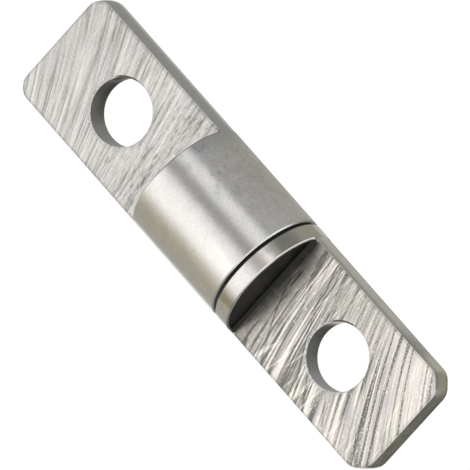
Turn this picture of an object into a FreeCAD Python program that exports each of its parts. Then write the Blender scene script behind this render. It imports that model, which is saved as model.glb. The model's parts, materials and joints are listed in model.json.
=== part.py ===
"""In-line friction hinge of a folding door: two stainless leaves turned from round bar, with milled tabs.

The hinge axis is X, towards the shaft leaf. The tabs lie flat, with their faces square to Z. The origin is on
the axis at the middle of the whole length. Lengths are in millimetres and angles in degrees.
"""
import FreeCAD, Part
import os
import Sketcher

os.makedirs("parts", exist_ok=True)
document = FreeCAD.newDocument("InlineFrictionHinge")

# Driving sizes: the name of each one, its value and what it measures
DRIVING_SIZES = (
    ("stem_diameter", 5.0, "the shaft leaf's stem, which turns in the clips"),
    ("running_clearance", 0.02, "between the stem and what it turns in, on the radius"),
    ("clip_width", 0.88, "a friction clip's band at its widest"),
    ("clip_tip_width", 0.52, "a friction clip's band at its narrowest"),
    ("clip_lean", 45, "from the toe to the widest place of the band"),
    ("clip_slit", 0.5, "the opening in a friction clip's band"),
    ("clip_slit_turn", 48, "from the toe to the opening"),
    ("clip_thickness", 0.36, "a friction clip, along the axis"),
    ("clip_play", 0.02, "from each clip to the next, along the axis"),
    ("toe_width", 1.0, "the clip's toe across the keyway"),
    ("toe_length", 0.62, "the clip's toe past the widest place of the band"),
    ("toe_clearance", 0.03, "round the toe in the keyway"),
    ("bore_clearance", 0.1, "round the clips in the barrel's bore, on the radius"),
    ("bush_seat_ledge", 0.15, "the bush's seat past the bottom of the keyway"),
    ("barrel_wall", 0.8, "the barrel's wall round the bush"),
    ("bush_length", 1.5, "the mouth bush, along the axis"),
    ("stack_washer_thickness", 0.3, "the washer between the bush and the clips"),
    ("inner_washer_thickness", 0.3, "the washer between the clips and the retaining ring"),
    ("ring_thickness", 0.35, "the retaining ring"),
    ("ring_groove_depth", 0.4, "the retaining ring's groove in the stem"),
    ("ring_band", 0.95, "the retaining ring's band, across"),
    ("ring_opening", 3.3, "the retaining ring's open side"),
    ("ring_relief", 0.55, "the round reliefs inside the retaining ring, radius"),
    ("ring_relief_turn", 45, "from the top of the retaining ring to each relief"),
    ("groove_clearance", 0.02, "on each side of the retaining ring in its groove"),
    ("stem_nose", 0.5, "the stem past the groove"),
    ("nose_chamfer", 0.25, "the chamfer on the stem's end"),
    ("end_clearance", 0.2, "from the stem's end to the bottom of the bore"),
    ("end_wall", 1.0, "from the bottom of the bore to the step of the barrel"),
    ("joint_gap", 0.25, "from the barrel's mouth to the flange"),
    ("washer_play", 0.01, "on each side of the thrust washer"),
    ("washer_recess", 0.22, "the thrust washer's edge below the barrel's skin"),
    ("washer_bore_clearance", 0.1, "between the washers and the stem, on the radius"),
    ("flange_thickness", 1.45, "the shaft leaf's round flange"),
    ("edge_break", 0.1, "the small chamfer on the turned edges"),
    ("step_root_radius", 0.3, "the hollow corner that the cutter leaves between a tab's face and its step"),
    ("tab_edge_break", 0.07, "the small chamfer along the edges of the tabs' faces"),
    ("barrel_tab_length", 14.4, "the barrel leaf's flat tab"),
    ("barrel_tab_thickness", 2.5, "the barrel leaf's flat tab"),
    ("barrel_end_chamfer", 0.75, "the chamfer turned on the barrel leaf's free end"),
    ("barrel_end_rounding", 1.1, "the rounding of that chamfer's two edges"),
    ("barrel_hole_distance", 7.57, "from the barrel leaf's end to its screw hole"),
    ("shaft_tab_length", 15.13, "the shaft leaf's flat tab"),
    ("shaft_tab_thickness", 2.15, "the shaft leaf's flat tab"),
    ("shaft_end_chamfer", 1.1, "the chamfer turned on the shaft leaf's free end"),
    ("shaft_end_rounding", 1.2, "the rounding of that chamfer's two edges"),
    ("shaft_hole_distance", 7.66, "from the shaft leaf's end to its screw hole"),
    ("screw_hole_diameter", 5.2, "the screw holes in both tabs"),
    ("hole_chamfer", 0.15, "the chamfer round the screw holes"),
)
CLIP_COUNT = 14

# The largest rounding of a chamfer's two edges that still leaves some of the chamfer between them
ROUNDING_PER_CHAMFER = 1.6

# The features that have to change the volume of the body before them
CHANGING_FEATURES = ("PartDesign::Pocket", "PartDesign::Groove", "PartDesign::Chamfer", "PartDesign::Fillet")

# The parts of the sketch solver's language that this model uses
START, END, CENTRE = range(1, 4)
ORIGIN = -1, 1
SKETCH_AXES = {"across": -1, "up": -2}

# Two edges or faces lie in the same place below this distance, and a cut changes nothing below this volume
SAME_PLACE = 1e-4
SAME_VOLUME = 1e-6

sheet = document.addObject("Spreadsheet::Sheet", "Sizes")
for row, (name, value, meaning) in enumerate(DRIVING_SIZES, start=1):
    sheet.set("A%d" % row, name)
    sheet.set("B%d" % row, str(value))
    sheet.setAlias("B%d" % row, name)
    sheet.set("C%d" % row, meaning)
document.recompute()

# Radii that follow from the driving sizes
stem_radius = "Sizes.stem_diameter / 2"
running_radius = stem_radius + " + Sizes.running_clearance"
washer_bore_radius = stem_radius + " + Sizes.washer_bore_clearance"
band_radius = running_radius + " + Sizes.clip_width"
toe_radius = band_radius + " + Sizes.toe_length"
bore_radius = band_radius + " + Sizes.bore_clearance"
keyway_radius = toe_radius + " + Sizes.toe_clearance"
bush_radius = keyway_radius + " + Sizes.bush_seat_ledge"
bar_radius = bush_radius + " + Sizes.barrel_wall"
groove_radius = stem_radius + " - Sizes.ring_groove_depth"

# Lengths along the axis that follow from the driving sizes, as what the barrel holds is stacked in it
clip_pitch = "(Sizes.clip_thickness + Sizes.clip_play)"
clip_pack = "%d * %s" % (CLIP_COUNT, clip_pitch)
groove_width = "(Sizes.ring_thickness + 2 * Sizes.groove_clearance)"
stem_in_barrel = " + ".join((
    "Sizes.bush_length", "2 * Sizes.clip_play", "Sizes.stack_washer_thickness", clip_pack,
    "Sizes.inner_washer_thickness", groove_width, "Sizes.stem_nose"))
barrel_length = "(" + stem_in_barrel + " + Sizes.end_clearance + Sizes.end_wall)"
whole_length = "(Sizes.barrel_tab_length + %s + Sizes.joint_gap + Sizes.flange_thickness" \
               " + Sizes.shaft_tab_length)" % barrel_length

# Places along the axis, from the barrel leaf's end to the shaft leaf's end
barrel_end = "-" + whole_length + " / 2"
barrel_step = barrel_end + " + Sizes.barrel_tab_length"
mouth = barrel_step + " + " + barrel_length
flange_face = mouth + " + Sizes.joint_gap"
shaft_step = flange_face + " + Sizes.flange_thickness"
shaft_end = whole_length + " / 2"
barrel_hole = barrel_end + " + Sizes.barrel_hole_distance"
shaft_hole = shaft_end + " - Sizes.shaft_hole_distance"

# Places along the axis inside the barrel, from its mouth inwards
bush_seat = mouth + " - Sizes.bush_length"
stack_washer_face = bush_seat + " - Sizes.clip_play"
pack_face = stack_washer_face + " - Sizes.stack_washer_thickness - Sizes.clip_play"
inner_washer_face = pack_face + " - " + clip_pack
groove_face = inner_washer_face + " - Sizes.inner_washer_thickness"
ring_face = groove_face + " - Sizes.groove_clearance"
stem_end = groove_face + " - " + groove_width + " - Sizes.stem_nose"
bore_bottom = stem_end + " - Sizes.end_clearance"


def size(expression):
    """The number that an expression on the sheet's sizes comes to now."""
    return float(sheet.evalExpression(expression))


def new_body(label):
    """An empty body that carries the sub-part's name."""
    body = document.addObject("PartDesign::Body", label)
    body.Label = label
    return body


def sketch_on(body, plane, name, offset=None):
    """A sketch on one of the body's own origin planes, moved along the plane's normal."""
    sketch = body.newObject("Sketcher::SketchObject", name)
    planes = {feature.Role: feature for feature in body.Origin.OriginFeatures}
    sketch.AttachmentSupport = [(planes[plane], "")]
    sketch.MapMode = "FlatFace"
    if offset:
        sketch.setExpression(".AttachmentOffset.Base.z", offset)
    return sketch


def hold_point(sketch, geometry, point, across, up):
    """Fix a point of a sketch by its two distances from the sketch's origin; None puts it on the axis."""
    for kind, axis, distance in (("DistanceX", "up", across), ("DistanceY", "across", up)):
        if distance is None:
            on_axis = Sketcher.Constraint("PointOnObject", geometry, point, SKETCH_AXES[axis])
            sketch.addConstraint(on_axis)
        else:
            measure = Sketcher.Constraint(kind, *ORIGIN, geometry, point, size(distance))
            number = sketch.addConstraint(measure)
            sketch.setExpression("Constraints[%d]" % number, distance)


def draw_circle(sketch, radius, across=None, up=None):
    """A circle in a sketch, with its centre at two distances from the sketch's origin."""
    centre = FreeCAD.Vector(size(across) if across else 0, size(up) if up else 0, 0)
    shape = Part.Circle(centre, FreeCAD.Vector(0, 0, 1), size(radius))
    circle = sketch.addGeometry(shape, False)
    hold_point(sketch, circle, CENTRE, across, up)
    number = sketch.addConstraint(Sketcher.Constraint("Radius", circle, size(radius)))
    sketch.setExpression("Constraints[%d]" % number, radius)


def draw_outline(sketch, corners):
    """A closed outline of straight lines in a sketch, with each corner at two distances from the origin."""
    points = []
    for across, up in corners:
        points.append(FreeCAD.Vector(size(across) if across else 0, size(up) if up else 0, 0))
    lines = []
    for start, end in zip(points, points[1:] + points[:1]):
        lines.append(sketch.addGeometry(Part.LineSegment(start, end), False))
    for line, following in zip(lines, lines[1:] + lines[:1]):
        sketch.addConstraint(Sketcher.Constraint("Coincident", line, END, following, START))
    for line, (across, up) in zip(lines, corners):
        hold_point(sketch, line, START, across, up)


def draw_rectangle(sketch, left, right, low, high):
    """A rectangle in a sketch between two places across and two places up."""
    draw_outline(sketch, ((left, low), (right, low), (right, high), (left, high)))


def pad(body, sketch, name, length, towards_x=True, midplane=False):
    """Metal added along the sketch's normal."""
    feature = body.newObject("PartDesign::Pad", name)
    feature.Profile = sketch
    feature.setExpression("Length", length)
    feature.Reversed = not towards_x
    feature.Midplane = midplane
    document.recompute()
    return feature


def cut_through(body, sketch, name):
    """Metal cut away on both sides of the sketch, right through the body."""
    feature = body.newObject("PartDesign::Pocket", name)
    feature.Profile = sketch
    feature.Type = "ThroughAll"
    feature.Midplane = True
    document.recompute()
    return feature


def turn_away(body, sketch, name):
    """Metal turned away round the hinge axis."""
    feature = body.newObject("PartDesign::Groove", name)
    feature.Profile = sketch
    feature.ReferenceAxis = (sketch, ["H_Axis"])
    feature.Angle = 360
    document.recompute()
    return feature


def circles_at(feature, axis, place, radius):
    """The names of the circular edges that lie at a place along an axis and have a radius."""
    names = []
    for number, edge in enumerate(feature.Shape.Edges, start=1):
        round_edge = isinstance(edge.Curve, Part.Circle)
        if round_edge and abs(edge.Curve.Radius - radius) < SAME_PLACE:
            if all(abs(getattr(vertex.Point, axis) - place) < SAME_PLACE for vertex in edge.Vertexes):
                names.append("Edge%d" % number)
    return names


def straight_edges_at(feature, place, height):
    """The names of the straight edges across the tab at a place along X and a height."""
    names = []
    for number, edge in enumerate(feature.Shape.Edges, start=1):
        if isinstance(edge.Curve, Part.Line):
            ends = [vertex.Point for vertex in edge.Vertexes]
            if all(max(abs(end.x - place), abs(end.z - height)) < SAME_PLACE for end in ends):
                names.append("Edge%d" % number)
    return names


def rim_of_face(feature, height):
    """The names of the edges round the flat face at a height, without the one at the step's root."""
    names = []
    for face in feature.Shape.Faces:
        flat = isinstance(face.Surface, Part.Plane) and face.BoundBox.ZLength < SAME_PLACE
        if not flat or abs(face.BoundBox.ZMin - height) > SAME_PLACE:
            continue
        for edge in face.OuterWire.Edges:
            for number, other in enumerate(feature.Shape.Edges, start=1):
                if other.isSame(edge) and not meets_root(feature, other):
                    names.append("Edge%d" % number)
    return names


def meets_root(feature, edge):
    """Whether an edge bounds the hollow corner at the root of the step."""
    for face in feature.Shape.ancestorsOfType(edge, Part.Face):
        hollow = isinstance(face.Surface, Part.Cylinder) and abs(face.Surface.Axis.y) > 0.5
        if hollow:
            return True
    return False


def break_edges(body, base, edges, name, width):
    """A chamfer of one width on some edges of the feature before it."""
    feature = body.newObject("PartDesign::Chamfer", name)
    feature.Base = (base, edges)
    feature.setExpression("Size", width)
    document.recompute()
    return feature


def round_edges(body, base, edges, name, radius):
    """A fillet of one radius on some edges of the feature before it."""
    feature = body.newObject("PartDesign::Fillet", name)
    feature.Base = (base, edges)
    feature.setExpression("Radius", radius)
    document.recompute()
    return feature


def turn_bar(body, start, length, free_end, inwards, chamfer, rounding, square_end):
    """The round bar of a leaf: a soft-edged chamfer at its free end, and its other end's edge broken."""
    sketch = sketch_on(body, "YZ_Plane", body.Label + "_bar_section", start)
    draw_circle(sketch, bar_radius)
    bar = pad(body, sketch, body.Label + "_bar", length)
    edges = circles_at(bar, "x", size(free_end), size(bar_radius))
    chamfered = break_edges(body, bar, edges, body.Label + "_end_chamfer", chamfer)

    edges = circles_at(chamfered, "x", size(free_end), size(bar_radius) - size(chamfer))
    edges += circles_at(chamfered, "x", size(free_end) + inwards * size(chamfer), size(bar_radius))
    softest = "min(%s; %s * %s)" % (rounding, ROUNDING_PER_CHAMFER, chamfer)
    rounded = round_edges(body, chamfered, edges, body.Label + "_end_rounding", softest)
    edges = circles_at(rounded, "x", size(square_end), size(bar_radius))
    return break_edges(body, rounded, edges, body.Label + "_edge_break", "Sizes.edge_break")


def mill_tab(body, end, step, thickness):
    """Both flats of a leaf's tab, milled square to Z up to the step, with the cutter's radius at its root."""
    sketch = sketch_on(body, "XZ_Plane", body.Label + "_flats")
    for side in ("", "-"):
        face = side + thickness + " / 2"
        clear = side + "2 * (" + bar_radius + ")"
        draw_rectangle(sketch, end, step, face, clear)
    flats = cut_through(body, sketch, body.Label + "_milled_flats")
    roots = []
    for side in (1, -1):
        roots += straight_edges_at(flats, size(step), side * size(thickness) / 2)
    hollow = round_edges(body, flats, roots, body.Label + "_step_roots", "Sizes.step_root_radius")
    step_arcs = circles_at(hollow, "x", size(step), size(bar_radius))
    return break_edges(body, hollow, step_arcs, body.Label + "_step_break", "Sizes.edge_break")


def break_tab(body, tab, thickness):
    """A small chamfer along every outer edge of a tab's two faces."""
    edges = []
    for side in (1, -1):
        edges += rim_of_face(tab, side * size(thickness) / 2)
    return break_edges(body, tab, edges, body.Label + "_tab_edges", "Sizes.tab_edge_break")


def drill_tab(body, place, thickness):
    """The screw hole through a leaf's tab, with a small chamfer on both faces."""
    sketch = sketch_on(body, "XY_Plane", body.Label + "_hole_place")
    draw_circle(sketch, "Sizes.screw_hole_diameter / 2", across=place)
    hole = cut_through(body, sketch, body.Label + "_screw_hole")
    rims = []
    for side in (1, -1):
        height = side * size(thickness) / 2
        rims += circles_at(hole, "z", height, size("Sizes.screw_hole_diameter / 2"))
    return break_edges(body, hole, rims, body.Label + "_hole_rims", "Sizes.hole_chamfer")


def make_barrel_leaf():
    """The barrel leaf: a milled tab and the barrel with its blind bore, bush seat and keyway."""
    body = new_body("barrel_leaf")
    length = "Sizes.barrel_tab_length + " + barrel_length
    turn_bar(body, barrel_end, length, barrel_end, 1, "Sizes.barrel_end_chamfer",
             "Sizes.barrel_end_rounding", mouth)
    tab = mill_tab(body, barrel_end + " - Sizes.barrel_tab_length", barrel_step,
                   "Sizes.barrel_tab_thickness")
    break_tab(body, tab, "Sizes.barrel_tab_thickness")

    section = sketch_on(body, "XZ_Plane", "bore_section")
    draw_outline(section, (
        (bore_bottom, None), (mouth, None), (mouth, bush_radius), (bush_seat, bush_radius),
        (bush_seat, bore_radius), (bore_bottom, bore_radius)))
    turn_away(body, section, "bore_and_bush_seat")

    section = sketch_on(body, "YZ_Plane", "keyway_section", bush_seat)
    half_width = "Sizes.toe_width / 2 + Sizes.toe_clearance"
    draw_rectangle(section, "-(%s)" % half_width, half_width, stem_radius, keyway_radius)
    keyway = body.newObject("PartDesign::Pocket", "keyway")
    keyway.Profile = section
    keyway.setExpression("Length", "(%s) - (%s)" % (bush_seat, bore_bottom))
    document.recompute()

    drill_tab(body, barrel_hole, "Sizes.barrel_tab_thickness")
    return body


def make_shaft_leaf():
    """The shaft leaf: a milled tab, the round flange and the stem with the retaining ring's groove."""
    body = new_body("shaft_leaf")
    length = "Sizes.flange_thickness + Sizes.shaft_tab_length"
    turn_bar(body, flange_face, length, shaft_end, -1, "Sizes.shaft_end_chamfer",
             "Sizes.shaft_end_rounding", flange_face)
    tab = mill_tab(body, shaft_end + " + Sizes.shaft_tab_length", shaft_step, "Sizes.shaft_tab_thickness")
    break_tab(body, tab, "Sizes.shaft_tab_thickness")

    section = sketch_on(body, "YZ_Plane", "stem_section", flange_face)
    draw_circle(section, stem_radius)
    stem = pad(body, section, "stem", "(%s) - (%s)" % (flange_face, stem_end), towards_x=False)
    nose = circles_at(stem, "x", size(stem_end), size(stem_radius))
    break_edges(body, stem, nose, "stem_nose_chamfer", "Sizes.nose_chamfer")

    section = sketch_on(body, "XZ_Plane", "groove_section")
    groove_end = groove_face + " - " + groove_width
    clear = stem_radius + " + Sizes.ring_groove_depth"
    draw_rectangle(section, groove_end, groove_face, groove_radius, clear)
    turn_away(body, section, "ring_groove")

    drill_tab(body, shaft_hole, "Sizes.shaft_tab_thickness")
    return body


def make_washer(label, face, thickness, outer_radius, inner_radius):
    """A plain flat washer or bush that reaches inwards from its outer face."""
    body = new_body(label)
    section = sketch_on(body, "YZ_Plane", label + "_section", face)
    draw_circle(section, outer_radius)
    draw_circle(section, inner_radius)
    pad(body, section, label + "_disc", thickness, towards_x=False)
    return body


def make_friction_clip(number):
    """A blanked spring-steel clip whose band grips the stem and whose toe stands in the keyway.

    The band's outer edge is off centre, so it narrows towards its free end beside the slit. Every other clip
    is turned over, so that the hinge holds alike both ways.
    """
    label = "friction_clip_%02d" % number
    body = new_body(label)
    offset = "(Sizes.clip_width - Sizes.clip_tip_width) / 2"
    band = sketch_on(body, "YZ_Plane", label + "_band")
    draw_circle(band, running_radius)
    draw_circle(band, running_radius + " + (Sizes.clip_width + Sizes.clip_tip_width) / 2",
                across="-%s * sin(Sizes.clip_lean)" % offset, up=offset + " * cos(Sizes.clip_lean)")
    pad(body, band, label + "_blank", "Sizes.clip_thickness", midplane=True)

    toe = sketch_on(body, "YZ_Plane", label + "_toe_section")
    root = running_radius + " + Sizes.clip_tip_width / 2"
    draw_rectangle(toe, "-Sizes.toe_width / 2", "Sizes.toe_width / 2", root, toe_radius)
    pad(body, toe, label + "_toe", "Sizes.clip_thickness", midplane=True)

    slit = sketch_on(body, "YZ_Plane", label + "_slit_section")
    slit.AttachmentOffset = FreeCAD.Placement(FreeCAD.Vector(), FreeCAD.Vector(0, 0, 1), -1)
    slit.setExpression(".AttachmentOffset.Rotation.Angle", "-Sizes.clip_slit_turn")
    draw_rectangle(slit, "-Sizes.clip_slit / 2", "Sizes.clip_slit / 2", stem_radius + " / 2", bore_radius)
    cut_through(body, slit, label + "_slit")

    turned_over = 180 if number % 2 == 0 else 0
    body.Placement = FreeCAD.Placement(FreeCAD.Vector(), FreeCAD.Vector(0, 0, 1), turned_over)
    middle = "%s - %d * %s - Sizes.clip_thickness / 2" % (pack_face, number - 1, clip_pitch)
    body.setExpression(".Placement.Base.x", middle)
    return body


def make_retaining_ring():
    """The open ring that snaps into the stem's groove, with two round reliefs in its inner edge."""
    body = new_body("retaining_ring")
    section = sketch_on(body, "YZ_Plane", "ring_section", ring_face)
    draw_circle(section, groove_radius + " + Sizes.ring_band")
    draw_circle(section, groove_radius)
    pad(body, section, "ring_blank", "Sizes.ring_thickness", towards_x=False)

    opening = sketch_on(body, "YZ_Plane", "ring_opening")
    outside = "-(%s + 2 * Sizes.ring_band)" % groove_radius
    draw_rectangle(opening, "-Sizes.ring_opening / 2", "Sizes.ring_opening / 2", outside, None)
    cut_through(body, opening, "ring_mouth")

    reliefs = sketch_on(body, "YZ_Plane", "ring_reliefs")
    for side in ("-", ""):
        across = "%s(%s) * sin(Sizes.ring_relief_turn)" % (side, groove_radius)
        up = "(%s) * cos(Sizes.ring_relief_turn)" % groove_radius
        draw_circle(reliefs, "Sizes.ring_relief", across=across, up=up)
    cut_through(body, reliefs, "ring_relief_cuts")
    return body


def faults_of(body):
    """What is wrong with a sub-part: failed features, ones that change nothing, or a bad solid."""
    faults = []
    for feature in [body] + list(body.Group):
        if "Invalid" in feature.State or "Error" in feature.State:
            faults.append("%s failed" % feature.Label)
    for feature in body.Group:
        if feature.TypeId in CHANGING_FEATURES:
            if abs(feature.BaseFeature.Shape.Volume - feature.Shape.Volume) < SAME_VOLUME:
                faults.append("%s changed nothing" % feature.Label)
    if body.Shape.isNull() or not body.Shape.isValid():
        faults.append("%s has a bad shape" % body.Label)
    elif len(body.Shape.Solids) != 1:
        faults.append("%s has %d solids" % (body.Label, len(body.Shape.Solids)))
    return faults


barrel_leaf = make_barrel_leaf()
shaft_leaf = make_shaft_leaf()
mouth_bush = make_washer("mouth_bush", mouth, "Sizes.bush_length", bush_radius, running_radius)
thrust_washer = make_washer(
    "thrust_washer", flange_face + " - Sizes.washer_play", "Sizes.joint_gap - 2 * Sizes.washer_play",
    bar_radius + " - Sizes.washer_recess", washer_bore_radius)
stack_washer = make_washer(
    "stack_washer", stack_washer_face, "Sizes.stack_washer_thickness", band_radius, washer_bore_radius)
friction_clips = [make_friction_clip(number) for number in range(1, CLIP_COUNT + 1)]
inner_washer = make_washer(
    "inner_washer", inner_washer_face, "Sizes.inner_washer_thickness", band_radius, washer_bore_radius)
retaining_ring = make_retaining_ring()

sub_parts = [barrel_leaf, shaft_leaf, mouth_bush, thrust_washer, stack_washer, *friction_clips,
             inner_washer, retaining_ring]
document.recompute()

faults = [fault for body in sub_parts for fault in faults_of(body)]
if faults:
    raise RuntimeError("; ".join(faults))

for body in sub_parts:
    body.Shape.exportStep("parts/%s.step" % body.Label)
    print("%-18s %9.3f mm3" % (body.Label, body.Shape.Volume))
print("bar radius %.3f, whole length %.3f" % (size(bar_radius), size(whole_length)))
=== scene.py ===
"""The looks of a folding door's in-line friction hinge: ground tabs, satin barrel and what it holds inside."""
import json
import math

import bpy
import numpy as np
from mathutils import Matrix, Vector


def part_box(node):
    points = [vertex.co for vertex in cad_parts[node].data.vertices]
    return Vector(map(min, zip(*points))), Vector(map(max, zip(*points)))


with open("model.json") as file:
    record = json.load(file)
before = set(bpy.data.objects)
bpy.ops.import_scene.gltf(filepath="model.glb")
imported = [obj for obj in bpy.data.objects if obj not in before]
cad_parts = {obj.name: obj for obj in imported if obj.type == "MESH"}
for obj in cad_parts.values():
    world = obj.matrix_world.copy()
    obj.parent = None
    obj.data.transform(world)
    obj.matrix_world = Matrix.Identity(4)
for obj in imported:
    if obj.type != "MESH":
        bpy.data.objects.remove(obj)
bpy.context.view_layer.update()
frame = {"nodes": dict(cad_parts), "record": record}

MM = 0.001
PER_MM = 1 / MM


class Wire:
    """A number on a shader socket: arithmetic on it adds the Math nodes."""

    def __init__(self, finish, socket):
        self.finish = finish
        self.socket = socket

    def math(self, operation, *others, clamp=False):
        """One Math node with this wire as its first value."""
        node = self.finish.tree.nodes.new("ShaderNodeMath")
        node.operation = operation
        node.use_clamp = clamp
        for place, value in enumerate((self, *others)):
            self.finish.feed(node.inputs[place], value)
        return Wire(self.finish, node.outputs[0])

    def __add__(self, other):
        return self.math("ADD", other)

    __radd__ = __add__

    def __sub__(self, other):
        return self.math("SUBTRACT", other)

    def __rsub__(self, other):
        return self.math("MULTIPLY_ADD", -1, other)

    def __mul__(self, other):
        return self.math("MULTIPLY", other)

    __rmul__ = __mul__

    def __truediv__(self, other):
        return self.math("DIVIDE", other)

    def __pow__(self, other):
        return self.math("POWER", other)

    def __neg__(self):
        return self * -1

    def __abs__(self):
        return self.math("ABSOLUTE")

    def __gt__(self, other):
        return self.math("GREATER_THAN", other)

    def __lt__(self, other):
        return self.math("LESS_THAN", other)

    def held(self):
        """The same number kept between 0 and 1."""
        return self.math("ADD", 0, clamp=True)

    def between(self, low, high):
        """A smooth rise from 0 at the low value to 1 at the high one; a low above the high gives a fall."""
        rise = ((self - low) / (high - low)).held()
        return rise * rise * (3 - 2 * rise)


class Finish:
    """A material being made: its node tree, its shader and the ways to add nodes to it."""

    def __init__(self, name, shader="ShaderNodeBsdfPrincipled"):
        self.material = bpy.data.materials.new(name)
        self.material.use_nodes = True
        self.tree = self.material.node_tree
        self.tree.nodes.clear()
        self.shader = self.tree.nodes.new(shader)
        output = self.tree.nodes.new("ShaderNodeOutputMaterial")
        self.tree.links.new(self.shader.outputs[0], output.inputs["Surface"])

    def feed(self, socket, value):
        """Give a socket a wire or a plain value."""
        if isinstance(value, Wire):
            self.tree.links.new(value.socket, socket)
        else:
            socket.default_value = value

    def add(self, kind, settings=None, sockets=None, output=0):
        """Any other node: its settings, then its sockets by name or place, and the wire that leaves it."""
        node = self.tree.nodes.new(kind)
        for name, value in (settings or {}).items():
            if name == "stops":
                self.set_stops(node.color_ramp, value)
            else:
                setattr(node, name, value)
        for name, value in (sockets or {}).items():
            self.feed(node.inputs[name], value)
        return Wire(self, node.outputs[output])

    @staticmethod
    def set_stops(ramp, stops):
        """Give a colour ramp its stops, each a place and a colour."""
        while len(ramp.elements) < len(stops):
            ramp.elements.new(0.5)
        for element, (place, colour) in zip(ramp.elements, stops):
            element.position = place
            element.color = (*colour, 1)

    def set(self, **sockets):
        """Give the shader's own sockets their values or wires, by name with _ for a space."""
        for name, value in sockets.items():
            self.feed(self.shader.inputs[name.replace("_", " ")], value)
        return self

    def place(self):
        """Where a point lies on its piece, along X, Y and Z, in millimetres."""
        where = self.tree.nodes.new("ShaderNodeTexCoord")
        apart = self.tree.nodes.new("ShaderNodeSeparateXYZ")
        self.tree.links.new(where.outputs["Object"], apart.inputs[0])
        return [Wire(self, socket) * PER_MM for socket in apart.outputs]

    def vector(self, x, y, z):
        """One vector of three numbers."""
        return self.add("ShaderNodeCombineXYZ", sockets={"X": x, "Y": y, "Z": z})

    def mix(self, share, plain, other):
        """A colour between two colours."""
        return self.add("ShaderNodeMix", {"data_type": "RGBA"}, {0: share, 6: plain, 7: other}, output=2)

    def noise(self, where, scale=1.0, detail=2.0, roughness=0.5, distortion=0.0):
        """Smooth noise between 0 and 1 at a vector."""
        return self.add("ShaderNodeTexNoise", {"noise_dimensions": "3D"}, {
            "Vector": where, "Scale": scale, "Detail": detail, "Roughness": roughness,
            "Distortion": distortion})

    def bump(self, height, depth, normal=None):
        """A normal tilted by a height, whose full range is the depth in metres."""
        sockets = {"Height": height, "Distance": depth, "Strength": 1.0}
        if normal is not None:
            sockets["Normal"] = normal
        return self.add("ShaderNodeBump", sockets=sockets)


def grey(value):
    """A neutral colour of one brightness."""
    return (value, value, value, 1)


def colour(red, green, blue):
    """A colour from its three linear shares."""
    return (red, green, blue, 1)


# How far the hole's chamfer, a face's broken edge and the hollow root of a step reach, in millimetres
HOLE_CHAMFER = 0.149
EDGE_BREAK = 0.069
ROOT_RADIUS = 0.299
FLANGE_THICKNESS = 1.45
SKIN_DEPTH = 0.06
DEGREES = 180 / math.pi


def mount(name):
    """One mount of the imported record."""
    return next(entry for entry in frame["record"]["mounts"] if entry["name"] == name)


def step_place(node, side, half):
    """Where a leaf's step stands along X: the last point on the tab's side that is well above the tab's face."""
    mesh = frame["nodes"][node].data
    points = np.empty(3 * len(mesh.vertices))
    mesh.vertices.foreach_get("co", points)
    points = points.reshape(-1, 3) * PER_MM
    upright = points[np.abs(points[:, 2]) > half + 0.5]
    return side * (side * upright[:, 0]).max()


class Leaf:
    """What the milled tab of one leaf measures, in millimetres, and how its grinding lies."""

    def __init__(self, node, side, **grinding):
        self.side = side
        self.half = abs(mount(node + "_top")["pos_m"][2]) * PER_MM
        self.hole = mount(node + "_screw_hole")["pos_m"][0] * PER_MM
        self.hole_radius = mount(node + "_screw_hole")["dims"]["r_mm"]
        self.step = step_place(node, side, self.half)
        self.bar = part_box(node)[1][1] * PER_MM
        for name, value in grinding.items():
            setattr(self, name, value)


# How the grinding lines lean, fan out and bow, and how strongly each kind of line shows
barrel_tab = Leaf("barrel_leaf", -1, lean=0.06, fan=0.042, bow=0.0, bend=-0.001, seed=3.0, middle=0.525,
                  hairs=0.11, bands=0.06, cuts=0.17, grooves=0.07, scratches=0.05, burrs=0.0, pits=0.17, broad=0.0,
                  sweep=0.04, grain=0.34, blotch=0.16, calm=0.0, root=0.0, warmth=0.4,
                  dark=colour(0.045, 0.045, 0.04), relief=0.000002)
shaft_tab = Leaf("shaft_leaf", 1, lean=0.024, fan=0.047, bow=-0.012, bend=0.0024, seed=11.0, middle=0.32,
                 hairs=0.55, bands=0.31, cuts=0.38, grooves=0.26, scratches=0.34, burrs=0.3, pits=0.1, broad=0.62,
                 sweep=0.10, grain=0.50, blotch=0.18, calm=0.62, root=1.0, warmth=1.0,
                 dark=colour(0.16, 0.156, 0.145), relief=0.000005)


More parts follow.
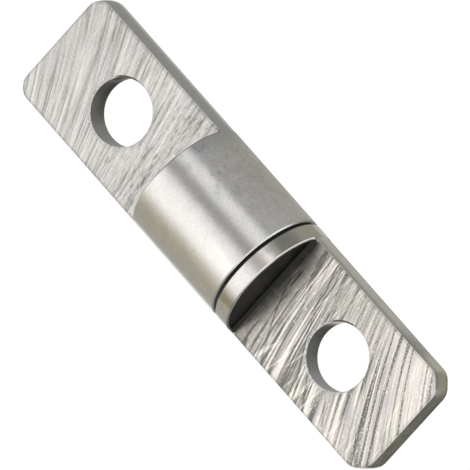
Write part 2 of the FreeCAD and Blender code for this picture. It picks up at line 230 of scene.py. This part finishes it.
def tab_grinding(finish, leaf, x, y, z, far):
    """A tab's ground face: thin light and dark lines across it, and painted shade with the dark step's painted
    reflection beside the step. Gives the colour, the fine grain and the lines' relief."""
    across = x + y * (leaf.lean + leaf.fan * far) + y * y * (leaf.bow + leaf.bend * far)

    def streaks(per_mm, length, low, high, seed, turn=0.0):
        """Thin lines along the grinding: where noise drawn out that many times its width passes two heights."""
        where = finish.vector((across + y * turn) * per_mm, y * (per_mm / length), leaf.seed + seed)
        return finish.noise(where, detail=0.0).between(low, high)

    def seams(per_mm, length, width, seed):
        """Thin lines along the grinding that part broad bands: where drawn-out noise crosses its middle height."""
        where = finish.vector(across * per_mm, y * (per_mm / length), leaf.seed + seed)
        return abs(finish.noise(where, detail=0.0) - 0.5).between(width, width * 0.4)

    hairs = streaks(5.6, 45, 0.55, 0.65, 0.3)
    bands = streaks(2.6, 40, 0.57, 0.62, 4.1)
    cuts = streaks(6.6, 30, 0.56, 0.66, 7.7)
    grooves = streaks(3.6, 24, 0.61, 0.67, 12.9)
    sweep = streaks(0.8, 12, 0.34, 0.66, 17.3)
    scratches = streaks(4.0, 40, 0.64, 0.69, 23.9, turn=-0.42)
    scratches = scratches - streaks(3.4, 36, 0.64, 0.70, 29.1, turn=0.30)
    grain = finish.noise(finish.vector(x, y, z), scale=6.5, detail=2.0)
    blotch = finish.noise(finish.vector(x, y, leaf.seed), scale=0.6, detail=2.0)
    burrs = streaks(5.0, 2.2, 0.72, 0.78, 37.9)
    pits = streaks(6.5, 4.0, 0.58, 0.70, 51.7) * far.between(10.0, 1.0)

    # Towards the free end the lines run together into broad bright bands parted by speckled grooves, and the
    # corner is the brightest
    free_end = far.between(7.2, 10.6)
    corner = across.between(18.6, 20.0) * y.between(-1.5, 1.5) * leaf.root
    parting = seams(1.4, 26, 0.11, 41.3)
    broad = (0.38 + corner * 0.25 - parting * (0.86 - (grain - 0.5) * 1.8)) * free_end

    # The lines are calmer on one side of the screw hole, and start raggedly, clear of the step
    high_side = y.between(1.0, 3.0) * far.between(3.0, 5.0) * far.between(13, 9) * leaf.root
    calm = 1 - leaf.calm * high_side
    calm = calm * (1 - (0.5 * free_end + 0.3 * corner) * leaf.root)
    low_side = y.between(-2.2, -3.6) * far.between(2.0, 4.0) * far.between(11, 8) * leaf.root
    ragged = streaks(1.8, 6, 0.3, 0.7, 33.7)
    ground = (far - leaf.root * (0.35 + 1.0 * ragged)).between(0, 0.35)
    finer = (y.between(-0.8, -2.4) + far.between(5.0, 3.0)).held() * leaf.root
    broad_lines = (bands * leaf.bands - grooves * leaf.grooves) * (1 - finer * 0.5)
    lines = hairs * leaf.hairs - cuts * leaf.cuts + broad_lines
    tone = (lines + scratches * leaf.scratches) * calm + burrs * leaf.burrs - pits * leaf.pits + broad * leaf.broad
    tone = tone * ground + leaf.middle - low_side * 0.08 - y * 0.006 * (1 - leaf.root) + high_side * 0.07
    tone = tone + far.between(0.8, 1.6) * far.between(3.0, 2.2) * leaf.root * 0.10
    tone = tone + far.between(5.0, 3.0) * leaf.root * 0.03
    tone = tone + (sweep - 0.5) * leaf.sweep + (grain - 0.5) * leaf.grain + (blotch - 0.5) * leaf.blotch

    tint = finish.noise(finish.vector(across * 0.8, y * 0.4, leaf.seed + 20), detail=3.0).between(0.38, 0.62)
    warm = finish.mix(tint, colour(0.86, 0.825, 0.75), colour(0.87, 0.797, 0.785))
    light = finish.mix(leaf.warmth, colour(0.90, 0.88, 0.86), warm)
    light = finish.mix(far.between(3.6, 0.8) * leaf.root * 0.6, light, colour(0.82, 0.75, 0.68))
    face = finish.mix(tone.held(), leaf.dark, light)

    # Painted shade beside the step, standing for the dark step face's reflection in the tab: olive brown and
    # mottled, strongest at the step and towards +Y
    patches = finish.noise(finish.vector(x, y, leaf.seed + 3), scale=1.5, detail=1.0).between(0.36, 0.64)
    painted_root_shade = far.between(2.1, 0.1) * (0.40 + 0.22 * y.between(-1.0, 3.6)) * leaf.root
    painted_root_shade = painted_root_shade + (patches - 0.5) * 0.16 * far.between(2.4, 1.2) * leaf.root
    painted_root_shade = (painted_root_shade + far.between(0.50, 0.27) * 0.3 * leaf.root).held()
    mauve = (tint * 0.4 + y.between(2.5, -2.0) * 0.6).held()
    face = finish.mix(painted_root_shade, face, finish.mix(mauve, colour(0.026, 0.026, 0.018), colour(0.046, 0.033, 0.029)))
    relief = (hairs + bands - cuts - grooves) * ground
    return face, grain, relief


def flange_stains_and_highlight(finish, satin, on_flange, turn):
    """The flange's turned skin: a painted highlight low on the side, then olive, a dark stain and a worn pinkish
    patch.
    """
    low = turn.between(8, -8)
    olive = turn.between(-4, 8) * turn.between(36, 20)
    stain = turn.between(20, 38) * turn.between(65, 55)
    lighter_part = turn.between(60, 66) * turn.between(80, 70)
    line = turn.between(108, 116) * turn.between(127, 121)
    # Painted highlight: near white low on the side and below
    satin = finish.mix(on_flange * low, satin, colour(1.0, 0.99, 0.93))
    satin = finish.mix(on_flange * olive, satin, colour(0.56, 0.56, 0.46))
    satin = finish.mix(on_flange * stain, satin, colour(0.34, 0.335, 0.30))
    satin = finish.mix(on_flange * line, satin, colour(0.44, 0.42, 0.36))
    satin = finish.mix(on_flange * turn.between(140, 150) * 0.55, satin, grey(0.40))
    return finish.mix(on_flange * lighter_part, satin, colour(0.87, 0.80, 0.78))


def leaf_skin(finish, leaf, x, y, z, far, mottle):
    """The bar's own satin skin, finely mottled low on the side and smoother above, with painted highlights and
    painted shade.
    """
    specks = finish.noise(finish.vector(x, y, z), scale=5.0, detail=2.0)
    turn = z.math("ARCTAN2", y) * DEGREES + (mottle - 0.5) * 12
    side = turn.between(66, 44) * turn.between(-60, -40)
    uneven = ((mottle - 0.5) * 1.3 + (specks - 0.5) * 1.5) * (0.55 + 0.6 * side)
    satin = finish.mix((0.5 + uneven).held(), colour(0.56, 0.55, 0.525), colour(0.74, 0.73, 0.71))
    if leaf.root:
        on_flange = (far > -FLANGE_THICKNESS - 0.05) * (far < 0.01)
        satin = flange_stains_and_highlight(finish, satin, on_flange, turn)
        on_side = (far > 0) * side
        at_end = far.between(11.5, 13.5)
        satin = finish.mix(at_end, satin, finish.mix(mottle.between(0.3, 0.7), colour(0.60, 0.59, 0.51),
                                                     colour(0.76, 0.74, 0.65)))
        # Painted highlight on the free end towards +Y
        satin = finish.mix(at_end * y.between(2.0, 4.0) * 0.4, satin, colour(0.97, 0.94, 0.84))
        # Painted highlight along the middle of the tab's side, painted shade above and below it, low on the free
        # end and in a band on the side near the end
        middle = abs(z).between(1.0, 0.3)
        light = on_side * far.between(10.2, 8.6) * (0.10 + 0.36 * middle)
        satin = finish.mix(light, satin, colour(0.97, 0.96, 0.86))
        satin = finish.mix(on_side * abs(z).between(0.4, 0.8) * 0.42, satin, grey(0.33))
        satin = finish.mix(at_end * z.between(-0.1, -0.9) * 0.14, satin, grey(0.18))
        return finish.mix(on_side * far.between(9.8, 11.0) * far.between(12.6, 11.8) * 0.2, satin, grey(0.1))
    darker = finish.mix(far.between(-4.0, 0), colour(0.60, 0.59, 0.575), colour(0.50, 0.505, 0.51))
    # Painted highlight on the barrel towards its mouth, in bands round it
    bright = turn.between(84, 92) * turn.between(126, 116) + turn.between(138, 146)
    mouth_highlight = far.between(-4.5, -9.0) * (side * turn.between(-24, 0) + bright) * 0.35
    satin = finish.mix(side * far.between(-2.5, 0) * 0.85, satin, darker)
    # Painted highlight on the lower half of the tab's side
    satin = finish.mix(side * (far > 0) * z.between(-0.1, -0.8) * 0.7, satin, grey(0.98))
    scuffs = finish.noise(finish.vector(x * 0.9, y * 1.6, z * 1.6), detail=2.0).between(0.53, 0.62)
    scuffs = scuffs * turn.between(34, 44) * turn.between(68, 58) * far.between(-6.5, -2.5) * (far < 0)
    satin = finish.mix(scuffs * 0.7, satin, colour(0.38, 0.39, 0.405))
    return finish.mix(mouth_highlight, satin, colour(0.84, 0.83, 0.81))


def leaf_steel(name, leaf):
    """Stainless steel of one leaf: ground streaks on the tab's faces, satin elsewhere."""
    finish = Finish(name)
    x, y, z = finish.place()
    height = abs(z)
    half = leaf.half
    far = (x - leaf.step) * leaf.side
    on_face = height.math("COMPARE", half, 0.004) * (far > 0.002)
    on_skin = y * y + z * z > (leaf.bar - SKIN_DEPTH) ** 2
    face, grain, relief = tab_grinding(finish, leaf, x, y, z, far)
    mottle = finish.noise(finish.vector(x * 1.3, y * 1.3, z * 1.3), detail=3.0)
    base = leaf_skin(finish, leaf, x, y, z, far, mottle)

    # The screw hole's drilled bore: painted shade, lighter at the top and towards -Y; towards +Y a painted
    # highlight on the shaft leaf, painted shade near black at the top on the barrel leaf
    from_axis = ((x - leaf.hole) * (x - leaf.hole) + y * y) ** 0.5
    at_hole = (from_axis < leaf.hole_radius + HOLE_CHAMFER) * (1 - on_face)
    painted_wall_shade = finish.mix(leaf.root, colour(0.19, 0.19, 0.195), colour(0.26, 0.26, 0.265))
    painted_wall_shade = finish.mix(z.between(-0.7, 0.7), painted_wall_shade, colour(0.35, 0.35, 0.355))
    painted_wall_lighter_minus_y = finish.mix(leaf.root, colour(0.36, 0.36, 0.375), colour(0.455, 0.455, 0.48))
    painted_wall_light_and_shade_plus_y = finish.mix(leaf.root, finish.mix(z.between(0.5, -0.9), grey(0.02), grey(0.42)), grey(0.98))
    painted_wall_shade = finish.mix((-y).between(1.5, 2.3), painted_wall_shade, painted_wall_lighter_minus_y)
    painted_wall_shade = finish.mix(y.between(0.6, 1.4), painted_wall_shade, painted_wall_light_and_shade_plus_y)
    base = finish.mix(at_hole, base, painted_wall_shade)

    # The face's grinding runs on over its broken edges and the hole's chamfer, which scatter the light
    at_edge = (height > half - EDGE_BREAK) * (far > ROOT_RADIUS) * (1 - at_hole)
    on_chamfer = (at_hole * (height > half - HOLE_CHAMFER) + at_edge * (1 - on_face)).held()
    base = finish.mix((on_face + on_chamfer).held(), base, face)
    base = finish.mix(at_hole * on_chamfer * grain.between(0.3, 0.6) * 0.6, base, grey(0.88))
    # Painted shadow: a dark brown line on the hole's chamfer, on its -X side towards +Y
    before = (leaf.hole - x).between(0.3, 0.9) * (leaf.hole - x).between(2.5, 1.9) * y.between(1.1, 1.6)
    base = finish.mix(before * at_hole * on_chamfer, base, colour(0.13, 0.115, 0.07))
    ring = from_axis.between(2.76, 2.82) * from_axis.between(2.96, 2.88) * (x - leaf.hole).between(-0.2, 0.8)
    base = finish.mix(ring * on_face * grain.between(0.40, 0.65) * 0.3, base, grey(0.20))

    # The step's upright face and hollow root, left from the cutter: painted shade on the shaft leaf, near black
    # except a grey strip above the root; plain grey on the barrel leaf
    low = height < half + ROOT_RADIUS
    on_step = (far > -0.004) * (far < ROOT_RADIUS) * (height > half + 0.004) * (1 - on_skin * low)
    at_root = on_step * low
    painted_step_shade = finish.mix((height - half).between(0.54, 0.30), colour(0.028, 0.028, 0.024), grey(0.32))
    base = finish.mix(on_step, base, finish.mix(leaf.root, grey(0.46), painted_step_shade))
    # Painted shade in the shaft leaf's hollow root, near black
    root = finish.mix(far.between(0, ROOT_RADIUS), grey(0.020), colour(0.026, 0.025, 0.021))
    base = finish.mix(at_root, base, finish.mix(leaf.root, grey(0.5), root))

    # The step's edge on the bar is a thin line: a painted highlight on the shaft leaf and painted shade on the
    # barrel leaf
    near_rim = on_skin * far.between(-0.16, -0.08) * (far < 0.02) * (height > half + 0.1)
    near_rim = near_rim * y.between(-1.5, 0.8)
    on_rim = near_rim * leaf.root
    painted_rim_line = finish.mix(leaf.root, colour(0.16, 0.16, 0.15), colour(0.80, 0.79, 0.76))
    base = finish.mix(near_rim, base, painted_rim_line)

    scattering = (on_chamfer + at_root + on_rim).held()
    roughness = 0.24 + (mottle - 0.5) * 0.05 + on_face * (0.08 + (grain - 0.5) * 0.12)
    roughness = roughness + scattering * 0.3 + at_root * 0.4 + at_hole * y.between(0.6, 1.4) * (1 - leaf.root) * 0.3
    normal = finish.bump(relief * abs(height - half).between(0.06, 0.01), leaf.relief)
    finish.set(Base_Color=base, Metallic=1 - scattering * 0.9, Roughness=roughness, Normal=normal)
    return finish.material


def inner_metal(name, dark, light, roughness, rings=0.0, rolled=0.0, pores=0.0):
    """An inner piece's metal: turned rings about the hinge axis, the strip's rolling lines or sintered pores,
    over a faint mottle."""
    finish = Finish(name)
    x, y, z = finish.place()
    radius = (y * y + z * z) ** 0.5
    turned = finish.noise(finish.vector(radius * 7, x * 7, 0.5), detail=1.0).between(0.38, 0.62)
    strip = finish.noise(finish.vector(x * 7, y * 7, z * 0.4), detail=2.0).between(0.38, 0.62)
    pits = finish.noise(finish.vector(x, y, z), scale=7.0, detail=1.0).between(0.60, 0.68)
    mottle = finish.noise(finish.vector(x, y, z), scale=1.6, detail=3.0).between(0.3, 0.7)
    lines = (turned - 0.5) * rings + (strip - 0.5) * rolled - pits * pores
    finish.set(Base_Color=finish.mix((0.5 + lines + (mottle - 0.5) * 0.5).held(), dark, light), Metallic=1.0,
               Roughness=roughness + (mottle - 0.5) * 0.1 - lines * 0.05, Normal=finish.bump(lines, 0.000003))
    return finish.material


def washer_plastic():
    """Black sliding plastic."""
    finish = Finish("black_washer_plastic")
    x, y, z = finish.place()
    mottle = finish.noise(finish.vector(x, y, z), scale=3.0)
    # Painted light: the black plastic is painted lighter towards -Y
    lighter_part = (-y).between(0.5, 4.0)
    black = finish.mix(mottle, grey(0.004), grey(0.008))
    finish.set(Base_Color=finish.mix(lighter_part, black, grey(0.06)), Roughness=0.55 + (mottle - 0.5) * 0.2,
               Normal=finish.bump(mottle, 0.000004), Specular_IOR_Level=0.2)
    return finish.material


def dress(node, material):
    """Give every slot of a node the material."""
    mesh = frame["nodes"][node].data
    if not mesh.materials:
        mesh.materials.append(material)
    for place in range(len(mesh.materials)):
        mesh.materials[place] = material


clip_steel = inner_metal("clip_spring_steel", grey(0.24), colour(0.46, 0.46, 0.45), 0.34, rolled=0.7)
washer_steel = inner_metal("washer_steel", grey(0.40), colour(0.64, 0.64, 0.63), 0.3, rings=0.8)
ring_steel = inner_metal("black_ring_steel", grey(0.06), grey(0.13), 0.4, rolled=0.5)
bush_bronze = inner_metal("sintered_bush_bronze", colour(0.38, 0.22, 0.09), colour(0.64, 0.42, 0.20), 0.38,
                          rings=0.4, pores=0.8)

dress("barrel_leaf", leaf_steel("barrel_leaf_stainless", barrel_tab))
dress("shaft_leaf", leaf_steel("shaft_leaf_stainless", shaft_tab))
dress("thrust_washer", washer_plastic())
dress("mouth_bush", bush_bronze)
dress("stack_washer", washer_steel)
dress("inner_washer", washer_steel)
dress("retaining_ring", ring_steel)
for node in frame["nodes"]:
    if node.startswith("friction_clip"):
        dress(node, clip_steel)


# The studio: a card tunnel round the hinge axis that only reflections see, a pale floor and a white world
TUNNEL_RADIUS = 300 * MM
TUNNEL_BACK = -750 * MM
TUNNEL_FRONT = 900 * MM
FLOOR_DEPTH = 320 * MM

# Cards round the tunnel, seen along the hinge axis: angle from +Y in degrees, then the card's light
CARDS = (
    (-180, (0.52, 0.49, 0.40)), (-146, (0.49, 0.48, 0.44)), (-135, (0.52, 0.51, 0.49)),
    (-126, (1.42, 1.42, 1.41)), (-116, (0.46, 0.46, 0.44)),
    (-60, (0.42, 0.415, 0.38)), (-20, (0.44, 0.43, 0.41)), (10, (0.48, 0.48, 0.48)),
    (29, (0.42, 0.42, 0.43)), (39, (1.12, 1.12, 1.12)), (55, (1.09, 1.09, 1.08)),
    (66, (0.40, 0.40, 0.39)), (78, (0.40, 0.40, 0.39)), (90, (1.14, 1.14, 1.14)),
    (106, (1.44, 1.44, 1.43)), (132, (1.44, 1.43, 1.40)), (152, (0.70, 0.66, 0.57)),
    (166, (0.53, 0.49, 0.385)), (180, (0.52, 0.49, 0.40)))


def tunnel_surface():
    """A round tunnel about the X axis: across one way the angle turns once, along the other X runs its length."""
    turns, lengths = 180, 2
    angle = np.linspace(-math.pi, math.pi, turns + 1)
    reach = np.linspace(TUNNEL_BACK, TUNNEL_FRONT, lengths)
    around, ahead = np.meshgrid(angle, reach)
    points = np.stack([ahead, TUNNEL_RADIUS * np.cos(around), TUNNEL_RADIUS * np.sin(around)], axis=-1)
    corner = np.arange(lengths - 1)[:, None] * (turns + 1) + np.arange(turns)[None, :]
    corner = corner.ravel()
    faces = np.stack([corner, corner + 1, corner + turns + 2, corner + turns + 1], axis=-1)
    mesh = bpy.data.meshes.new("card_tunnel")
    mesh.from_pydata(points.reshape(-1, 3).tolist(), [], faces.tolist())
    tunnel = bpy.data.objects.new("card_tunnel", mesh)
    bpy.context.scene.collection.objects.link(tunnel)
    return tunnel


def tunnel_light():
    """The tunnel's glow: each card's light by its angle, fading to black flags past the shaft leaf and below."""
    finish = Finish("card_tunnel_light", "ShaderNodeEmission")
    x, y, z = finish.place()
    turn = z.math("ARCTAN2", y) / (2 * math.pi) + 0.5
    brightest = max(max(light) for _, light in CARDS)
    stops = [((angle + 180) / 360, [share / brightest for share in light]) for angle, light in CARDS]
    cards = finish.add("ShaderNodeValToRGB", {"stops": stops}, {"Fac": turn})
    below = (-z).between(100, 240)
    dim_above = x.between(35, 110) * (1 - below)
    dim_below = x.between(-30, 40) * below
    under = finish.mix(y.between(-100, 100), colour(0.095, 0.094, 0.082), colour(0.20, 0.196, 0.17))
    flag = finish.mix(below, grey(0.24), under)
    light = finish.mix(dim_above + dim_below, cards, flag)

    # Far along the hinge: a bright card past the shaft leaf, on the side away from the dark one, and a grey end
    past_front = x.between(230, 300) * y.between(-250, -190)
    light = finish.mix(past_front, light, grey(0.85))
    light = finish.mix(x.between(-440, -500), light, grey(0.17))
    finish.set(Color=light, Strength=brightest)
    return finish.material


tunnel = tunnel_surface()
tunnel.data.materials.append(tunnel_light())
tunnel.visible_camera = False
tunnel.visible_diffuse = False
tunnel.visible_shadow = False
tunnel.visible_transmission = False


def floor_surface(reach):
    """A flat square floor under the hinge."""
    mesh = bpy.data.meshes.new("floor")
    corners = [(-reach, -reach, -FLOOR_DEPTH), (reach, -reach, -FLOOR_DEPTH),
               (reach, reach, -FLOOR_DEPTH), (-reach, reach, -FLOOR_DEPTH)]
    mesh.from_pydata(corners, [], [(0, 1, 2, 3)])
    floor = bpy.data.objects.new("floor", mesh)
    bpy.context.scene.collection.objects.link(floor)
    return floor


floor = floor_surface(3.0)
floor_finish = Finish("pale_floor")
floor_finish.set(Base_Color=grey(0.45), Roughness=0.9, Emission_Color=grey(1.0), Emission_Strength=0.56)
floor.data.materials.append(floor_finish.material)

world = bpy.data.worlds.new("white_studio")
bpy.context.scene.world = world
world.use_nodes = True
background = world.node_tree.nodes["Background"]
background.inputs["Color"].default_value = grey(1.0)
background.inputs["Strength"].default_value = 1.0


# The camera: far off with a long lens, looking down on the tabs, turned so that the hinge runs to the lower right
CAMERA_DISTANCE = 1.15
FRAME_WIDTH = 34.68 * MM
TO_CAMERA = Vector((0.34034, 0.30493, 0.88949)).normalized()
CAMERA_UP = Vector((-0.70622, 0.70745, 0.02768))
AIM_RIGHT = -0.064 * MM
AIM_UP = 0.001 * MM


def place_camera():
    """The camera at the photograph's viewing angle."""
    camera = bpy.data.cameras.new("camera")
    camera.sensor_width = 36
    camera.lens = camera.sensor_width * CAMERA_DISTANCE / FRAME_WIDTH
    camera.clip_start = 0.01
    camera.clip_end = 10
    holder = bpy.data.objects.new("camera", camera)
    bpy.context.scene.collection.objects.link(holder)
    right = CAMERA_UP.cross(TO_CAMERA).normalized()
    up = TO_CAMERA.cross(right)
    turn = Matrix((right, up, TO_CAMERA)).transposed().to_4x4()
    spot = TO_CAMERA * CAMERA_DISTANCE + right * AIM_RIGHT + up * AIM_UP
    holder.matrix_world = Matrix.Translation(spot) @ turn
    bpy.context.scene.camera = holder


place_camera()
bpy.context.scene.view_settings.view_transform = "Standard"
